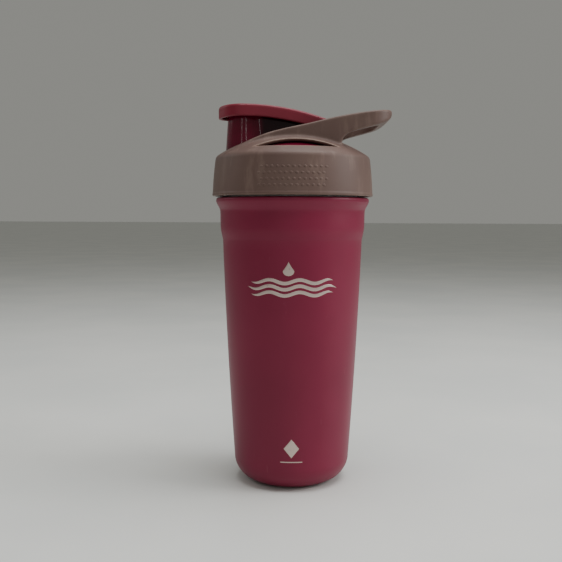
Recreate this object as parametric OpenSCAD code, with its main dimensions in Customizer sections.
// Insulated steel shaker bottle with a screw-on lid, a flip cap over a
// drinking spout, a carry loop and a loose wire whisk ball.
// Millimetres, +Z up. The origin is on the bottle's axis, in the plane that
// it stands on. The spout is on the -X side and the carry loop on the +X side.

/* [Bottle] */
// Outer radius of the body where the rounded bottom corner ends
foot_r = 34.3; // [33:0.1:36]
// Radius that the body gains for each millimetre of height, just above the foot
taper = 0.0715; // [0.06:0.0005:0.08]
// Radius of the body's gentle outward curve, seen from the side
belly_r = 3400; // [3000:50:4000]
// Radius of the rounded bottom corner
corner_r = 14.5; // [13:0.1:15]
// Height of the body's flat shoulder, where the neck begins
shoulder_z = 167.6; // [166:0.1:168]
// Outer radius of the slightly wider band below the lip
band_r = 42.5; // [42:0.1:43]
// Outer radius of the lip below the lid
lip_r = 45; // [44.4:0.1:45.4]
// Thickness of the outer steel wall
shell_t = 0.8; // [0.6:0.1:1]
// Thickness of the inner steel wall
liner_t = 0.7; // [0.6:0.1:0.8]
// Width of the evacuated gap between the two walls
vacuum_gap = 1.8; // [1.6:0.1:2]

/* [Neck] */
// Inner radius of the mouth
mouth_r = 36.6; // [36:0.1:36.8]
// Outer radius of the neck under its thread
neck_r = 37.8; // [37.6:0.1:38]
// Height of the neck above the shoulder
neck_h = 16.9; // [16.5:0.1:17]
// Distance that one turn of the lid lifts it
pitch = 5; // [5:0.1:5.4]

/* [Lid] */
// Outer radius of the lid at its lower edge
lid_r = 47.2; // [47:0.1:48]
// Outer radius of the lid where its side meets the dome
lid_top_r = 45.4; // [45:0.1:46]
// Height of the lid's lower edge
lid_z = 168.3; // [168.2:0.1:168.8]
// Radius of the sphere that the dome is cut from
dome_r = 80; // [79.5:0.1:80.5]
// Height of that sphere's highest point
dome_top = 205; // [204.8:0.1:205.2]
// Radius at which the windows in the dome end
window_r = 38; // [37.5:0.1:38.5]
// Thickness of the dome
dome_t = 2.2; // [2:0.1:2.4]

/* [Carry loop] */
// Distance from the middle to the outer face of each arm
arm_out = 23; // [22.5:0.1:24]
// Distance from the middle to the inner face of each arm
arm_in = 17.5; // [17.3:0.1:18]
// How far the tip of the loop reaches from the axis
loop_tip = 57.2; // [56:0.1:60]
// Width of the bar across the tip
loop_bar = 8; // [6:0.1:9]
// Radius of the arch that shapes the top of each window
arch_r = 59.7; // [58:0.1:62]

/* [Spout] */
// Distance from the axis to the middle of the spout
spout_x = 27.8; // [27.4:0.1:28]
// Outer radius of the spout at its rim
spout_r = 10.2; // [9.9:0.1:10.4]
// Radius of the drinking hole
spout_bore = 8.4; // [8.2:0.1:8.5]
// Height of the spout's rim
spout_z = 215.2; // [215:0.1:215.4]
// Half of the width of the raised web between the spout and the hinge
web_w = 8.2; // [7:0.1:9]
// Where that web ends, measured from the axis
web_x = 14; // [12:0.5:15]

/* [Flip cap] */
// Half of the cap's width
cap_w = 14.6; // [14.2:0.1:14.8]
// Radius of the cap's curved top, seen from the side
cap_arc = 142; // [138:1:146]
// Height of the highest point of the cap
cap_top = 220.8; // [220.4:0.1:221.2]
// Depth of the cap's side wall
cap_depth = 7; // [6.8:0.1:7.4]
// Distance from the axis to the hinge pin
hinge_x = 25.5; // [25:0.1:26]
// Height of the hinge pin
hinge_z = 205.6; // [205.4:0.1:206]
// Radius of the hinge pin
pin_r = 1.5; // [1.3:0.1:1.8]

/* [Whisk ball] */
// Radius of the ball, measured to the outside of its wire
ball_r = 25; // [22:0.5:26]
// Radius of the wire
wire_r = 1; // [0.8:0.1:1.2]
// Number of turns from one end of the ball to the other
ball_turns = 9; // [7:1:10]

/* [Hidden] */
$fn = 96;

plum = [0.36, 0.13, 0.18];
dark_plum = [0.22, 0.07, 0.11];
taupe = [0.42, 0.34, 0.31];
steel = [0.72, 0.72, 0.71];
silicone = [0.86, 0.85, 0.83];

band_z = 143;                           // the body starts to widen towards the band
ring_r = 17.5;                          // inner edge of the foot ring
dish_z = 3;                             // top of the pressed outer bottom
evac_r = 1;                             // evacuation hole
liner_z = 7;                            // underside of the inner vessel
liner_corner = 11;                      // its rounded corner
weld_r = 20;                            // where its bottom is welded in
neck_z = shoulder_z + neck_h;
getter_x = 9;
getter_r = 3.1;
dome_z = dome_top - dome_r;             // middle of the dome's sphere
core_r = dome_r - dome_t - 0.6;         // outer sphere of the inner lid
core_t = 2;
skirt_in = 40.2;                        // the inner lid's threaded skirt
skirt_out = 42.9;
skirt_z = lid_z + 0.7;
seat_z = neck_z + 2.2;                  // the face that the gasket bears on
gasket_in = 35.4;
gasket_out = 39.6;
arch_x = 2.2;
arch_top = 199.8;
window_y = 24;                          // the windows stay outside the arms
bar_corner = 14;                        // outer corner of the loop's tip
barrel_r = 3.6;
barrel_w = 16.9;
cap_end_x = 28.9;                       // middle of the cap's round end
web_drop = 5.5;                         // from the cap's outer face down to the web
cap_t = 2;
cap_wall = 1.8;
hollow_end = 17;                        // the cap is solid from here to its hinge
flange_z = spout_z + 0.1;
carrier_z = flange_z + 1.4;
plug_depth = 3.6;
boss_r = 3.5;
fit = 0.05;

function arc(c, r, a, b, n) =
    [for (i = [0 : n]) c + r * [cos(a + (b - a) * i / n), sin(a + (b - a) * i / n)]];
function reversed(list) = [for (i = [len(list) - 1 : -1 : 0]) list[i]];
function body_r(z) = foot_r + taper * (z - corner_r) - pow(z - corner_r, 2) / (2 * belly_r);
function sphere_z(r, x) = dome_z + sqrt(r * r - x * x);
// the plain part of the side, above the foot and below the band, moved inwards by d
function wall(d) = [for (z = [32, 54, 76, 98, 120, band_z]) [body_r(z) - d, z]];
// the whole side, from the foot to the neck, moved inwards by d
function side(d) = concat(
    arc([foot_r - corner_r, corner_r], corner_r - d, -90, 0, 10),
    wall(d),
    [[band_r - 0.25 - d, band_z + 6], [band_r - d, band_z + 10], [band_r + 0.05 - d, 159.3],
     [band_r + 0.5 - d, 161.1], [band_r + 1.4 - d, 163], [lip_r - d, 165]],
    arc([lip_r - 1.5, shoulder_z - 1.5], 1.5 - d, 0, 90, 3));

// A ridge wound round the Z axis: root and crest radii, height of its middle
// where it starts, first and last angle. Its ends fade into the wall.
module ridge(root, crest, z, from, to) {
    step = 10;
    n = floor((to - from) / step);
    function reach(i) = root + (crest - root) * min(1, (i + 1) / 5, (n - i + 1) / 5);
    function ring(i) = let (a = from + i * step, h = z + pitch * a / 360, r = reach(i))
        [for (p = [[root, -0.9], [r, -0.45], [r, 0.45], [root, 0.9]])
            [p[0] * cos(a), p[0] * sin(a), h + p[1]]];
    turn = crest > root ? [0, 1, 2, 3] : [3, 2, 1, 0];
    points = [for (i = [0 : n]) let (g = ring(i)) for (k = turn) g[k]];
    sides = [for (i = [0 : n - 1], k = [0 : 3])
        let (a = 4 * i + k, b = 4 * i + (k + 1) % 4)
        each [[a, b, b + 4], [a, b + 4, a + 4]]];
    polyhedron(points, concat([[3, 2, 1, 0]], sides,
                              [[4 * n, 4 * n + 1, 4 * n + 2, 4 * n + 3]]));
}

module outer_shell() {
    color(plum)
        rotate_extrude()
            polygon(concat([[ring_r, shell_t], [ring_r, 0]], side(0),
                           [[neck_r, shoulder_z], [neck_r, shoulder_z - shell_t]],
                           reversed(side(shell_t))));
}

module outer_bottom() {
    color(steel)
        difference() {
            translate([0, 0, 0.3]) cylinder(r = ring_r, h = dish_z - 0.3);
            cylinder(r = ring_r - 0.8, h = dish_z - 0.8);
            cylinder(r = evac_r, h = dish_z + 1);
        }
}

module base_cover() {
    color(steel)
        difference() {
            translate([0, 0, 0.5]) cylinder(r = ring_r - 0.9, h = dish_z - 1.3);
            translate([0, 0, 1.1]) cylinder(r = ring_r - 1.5, h = dish_z);
        }
}

module seal_bead() {
    color("dimgray") {
        translate([0, 0, dish_z - 1.4]) cylinder(r = 2.2, h = 0.6);
        translate([0, 0, dish_z - 0.8]) cylinder(r = evac_r, h = 0.8);
    }
}

module inner_liner() {
    gap = shell_t + vacuum_gap;
    top = neck_z - 0.6;
    corner_z = liner_z + liner_corner;
    outside = concat(
        [[weld_r, liner_z]],
        arc([body_r(corner_z) - gap - liner_corner, corner_z], liner_corner, -90, 0, 8),
        wall(gap),
        [[neck_r, shoulder_z - 8], [neck_r, top], [neck_r - 0.6, neck_z]]);
    inside = concat(
        [[mouth_r + 0.4, neck_z], [mouth_r, top], [mouth_r, shoulder_z - 8]],
        reversed(wall(gap + liner_t)),
        arc([body_r(corner_z) - gap - liner_corner, corner_z], liner_corner - liner_t, 0, -90, 8),
        [[weld_r, liner_z + liner_t]]);
    color(steel) {
        rotate_extrude() polygon(concat(outside, inside));
        ridge(neck_r - 0.3, neck_r + 1.7, shoulder_z + 3.9, 0, 580);
    }
}

module liner_bottom() {
    color(steel) translate([0, 0, liner_z]) cylinder(r = weld_r, h = liner_t);
}

module getter_clip() {
    color(steel)
        translate([getter_x, 0, liner_z - 2.6])
            difference() {
                cylinder(r = getter_r + 0.8, h = 2.6);
                translate([0, 0, -1]) cylinder(r = getter_r, h = 3);
            }
}

module getter_pill() {
    color("gray")
        translate([getter_x, 0, liner_z - 2.4]) cylinder(r = getter_r - fit, h = 1.7);
}

// One wire, wound from pole to pole over a sphere
module whisk_ball() {
    sides = 8;
    steps = 20;
    path_r = ball_r - wire_r;
    n = ball_turns * steps;
    function polar(i) = 20 + 140 * i / n;
    function spot(i) = let (a = 360 * i / steps, p = polar(i))
        path_r * [sin(p) * cos(a), sin(p) * sin(a), -cos(p)];
    function along(i) = let (v = spot(i + 0.5) - spot(i - 0.5)) v / norm(v);
    function ring(i) = let (c = spot(i), u = c / path_r, v = cross(along(i), u))
        [for (k = [0 : sides - 1])
            c + wire_r * (cos(360 * k / sides) * u + sin(360 * k / sides) * v)];
    faces = [for (i = [0 : n - 1], k = [0 : sides - 1])
        let (a = sides * i + k, b = sides * i + (k + 1) % sides)
        each [[a, b + sides, b], [a, a + sides, b + sides]]];
    color(steel)
        translate([0, 0, liner_z + liner_t + ball_r + fit])
            polyhedron([for (i = [0 : n]) each ring(i)],
                       concat([[for (k = [0 : sides - 1]) k]], faces,
                              [[for (k = [sides - 1 : -1 : 0]) sides * n + k]]));
}

module neck_gasket() {
    color(silicone)
        translate([0, 0, neck_z + fit])
            difference() {
                cylinder(r = gasket_out, h = seat_z - neck_z - 2 * fit);
                translate([0, 0, -1]) cylinder(r = gasket_in, h = 5);
            }
}

module spout_body(grow) {
    base = dome_z + 66;
    translate([-spout_x, 0, base])
        cylinder(r1 = spout_r + 1.6 + grow, r2 = spout_r + grow, h = spout_z - base);
}

// The raised web behind the spout; grow moves its faces outwards
module web(grow) {
    intersection() {
        translate([-spout_x, -web_w - grow, 190])
            cube([spout_x + web_x + grow, 2 * (web_w + grow), 30]);
        translate([-cap_end_x, 0, cap_top - cap_arc])
            rotate([90, 0, 0]) cylinder(r = cap_arc - web_drop + grow, h = 60, center = true, $fn = 360);
    }
}

module lid_core() {
    lip = gasket_in - 0.2;
    inner = core_r - core_t;
    profile = concat(
        [[skirt_in, skirt_z], [skirt_out, skirt_z]],
        [for (x = [skirt_out : -skirt_out / 12 : 1]) [x, sphere_z(core_r, x)]],
        [[0, sphere_z(core_r, 0)], [0, sphere_z(inner, 0)]],
        [for (i = [1 : 10]) let (x = (lip - 0.6) * i / 10) [x, sphere_z(inner, x)]],
        [[lip - 0.6, seat_z - 1.7], [lip, seat_z - 1.7], [lip, seat_z], [skirt_in, seat_z]]);
    color(dark_plum)
        difference() {
            union() {
                rotate_extrude() polygon(profile);
                difference() {
                    union() {
                        spout_body(0);
                        web(0);
                    }
                    translate([0, 0, dome_z]) sphere(r = inner + 0.5);
                }
                ridge(skirt_in + 0.3, skirt_in - 1.8, shoulder_z + 3.9 + pitch / 2, -60, 340);
            }
            translate([-spout_x, 0, dome_z + 60]) cylinder(r = spout_bore, h = 40);
            intersection() {
                web(-core_t);
                translate([2 - spout_x + spout_bore, -20, 190]) cube([60, 40, 40]);
            }
        }
}

// Outline of the loop from above; d moves it inwards
module loop_plan(half, reach, corner) {
    translate([-40, -half]) square([40 + reach - corner, 2 * half]);
    for (s = [-1, 1])
        translate([reach - corner, s * (half - corner)]) circle(r = corner);
    translate([0, corner - half]) square([reach, 2 * (half - corner)]);
}

module loop_side() {
    polygon([[-38, 190], [-38, 192], [-28, 197.7], [-17, 203], [-6, 205.6], [11, 209],
             [20, 211.9], [33, 214.3], [loop_tip - 0.7, 217.3], [loop_tip, 216.6],
             [loop_tip, 215.2], [51.5, 209.6], [48, 208.2], [33, 204.3], [30.5, 202.9],
             [28.5, 201], [27.6, 199], [27.6, 190]]);
}

module lid_shell() {
    inside_r = dome_r - dome_t;
    edge = lid_top_r - 1;
    inner = skirt_out + 0.5;
    color(taupe)
        difference() {
            union() {
                rotate_extrude()
                    polygon(concat(
                        [[lid_r - 2.4, lid_z], [lid_r, lid_z], [lid_r, lid_z + 1.6],
                         [lid_r - 0.15, lid_z + 2], [lid_r - 0.45, 178],
                         [lid_top_r, sphere_z(dome_r, edge) - 1.2]],
                        [for (i = [0 : 12]) let (x = edge * (1 - i / 12)) [x, sphere_z(dome_r, x)]],
                        [for (i = [0 : 12]) let (x = inner * i / 12) [x, sphere_z(inside_r, x)]]));
                difference() {
                    intersection() {
                        rotate([90, 0, 0])
                            linear_extrude(height = 2 * arm_out, center = true) loop_side();
                        translate([0, 0, 180])
                            linear_extrude(height = 50)
                                difference() {
                                    loop_plan(arm_out, loop_tip, bar_corner);
                                    loop_plan(arm_in, loop_tip - loop_bar, bar_corner - 5);
                                }
                    }
                    translate([0, 0, dome_z]) sphere(r = inside_r + 0.5);
                }
            }
            // window beside each arm
            for (s = [0, 1])
                mirror([0, s, 0])
                    intersection() {
                        translate([arch_x, 0, arch_top - arch_r])
                            rotate([90, 0, 0]) cylinder(r = arch_r, h = 100, center = true);
                        cylinder(r = window_r, h = 210);
                        translate([-50, window_y, 180]) cube([100, 50, 30]);
                    }
            spout_body(0.5);
            web(0.5);
            translate([hinge_x, 0, hinge_z])
                rotate([90, 0, 0]) {
                    translate([0, 0, -50]) cylinder(r = pin_r, h = 50 + arm_in + 3);
                    translate([0, 0, -50]) cylinder(r = pin_r + 0.8, h = 51.2 - arm_out);
                }
        }
}

module hinge_pin() {
    color(steel)
        translate([hinge_x, arm_out - 1.2, hinge_z])
            rotate([90, 0, 0]) cylinder(r = pin_r, h = arm_out - 1.2 + arm_in + 3);
}

module pin_plug() {
    color(taupe)
        translate([hinge_x, arm_out, hinge_z])
            rotate([90, 0, 0]) cylinder(r = pin_r + 0.8, h = 1.2);
}

// The cap's space: w is half its width, high and low are the radii of its
// curved faces, last is where it stops
module cap_space(w, high, low, last) {
    intersection() {
        translate([-cap_end_x, 0, cap_top - cap_arc])
            rotate([90, 0, 0])
                difference() {
                    cylinder(r = high, h = 60, center = true, $fn = 360);
                    cylinder(r = low, h = 61, center = true, $fn = 360);
                }
        translate([0, 0, 190])
            linear_extrude(height = 40) {
                translate([-cap_end_x, 0]) circle(r = w);
                translate([-cap_end_x, -w]) square([cap_end_x + last, 2 * w]);
            }
    }
}

module flip_cap() {
    color(plum)
        difference() {
            union() {
                difference() {
                    cap_space(cap_w, cap_arc, cap_arc - cap_depth, hinge_x);
                    cap_space(cap_w - cap_wall, cap_arc - cap_t, cap_arc - cap_depth - 5, hollow_end);
                }
                translate([hinge_x, 0, hinge_z])
                    rotate([90, 0, 0]) cylinder(r = barrel_r, h = 2 * barrel_w, center = true);
            }
            translate([hinge_x, 0, hinge_z])
                rotate([90, 0, 0]) cylinder(r = pin_r + fit, h = 60, center = true);
        }
}

module cap_carrier() {
    color(plum) {
        intersection() {
            cap_space(cap_w - cap_wall - 0.2, cap_arc - cap_t, cap_arc - 30, 10);
            translate([-cap_end_x, 0, carrier_z]) cylinder(r = cap_w - cap_wall - 0.2, h = 10);
        }
        translate([-spout_x, 0, carrier_z - 3.6]) cylinder(r = boss_r, h = 3.6);
    }
}

module spout_seal() {
    color(silicone)
        translate([-spout_x, 0, 0])
            difference() {
                union() {
                    translate([0, 0, flange_z]) cylinder(r = 11, h = carrier_z - flange_z);
                    translate([0, 0, flange_z - plug_depth])
                        cylinder(r1 = spout_bore - 1.2, r2 = spout_bore - 0.4, h = plug_depth);
                }
                translate([0, 0, carrier_z - 3.6 - fit]) cylinder(r = boss_r + fit, h = 10);
            }
}

outer_shell();
outer_bottom();
base_cover();
seal_bead();
inner_liner();
liner_bottom();
getter_clip();
getter_pill();
whisk_ball();
neck_gasket();
lid_core();
lid_shell();
hinge_pin();
pin_plug();
flip_cap();
cap_carrier();
spout_seal();
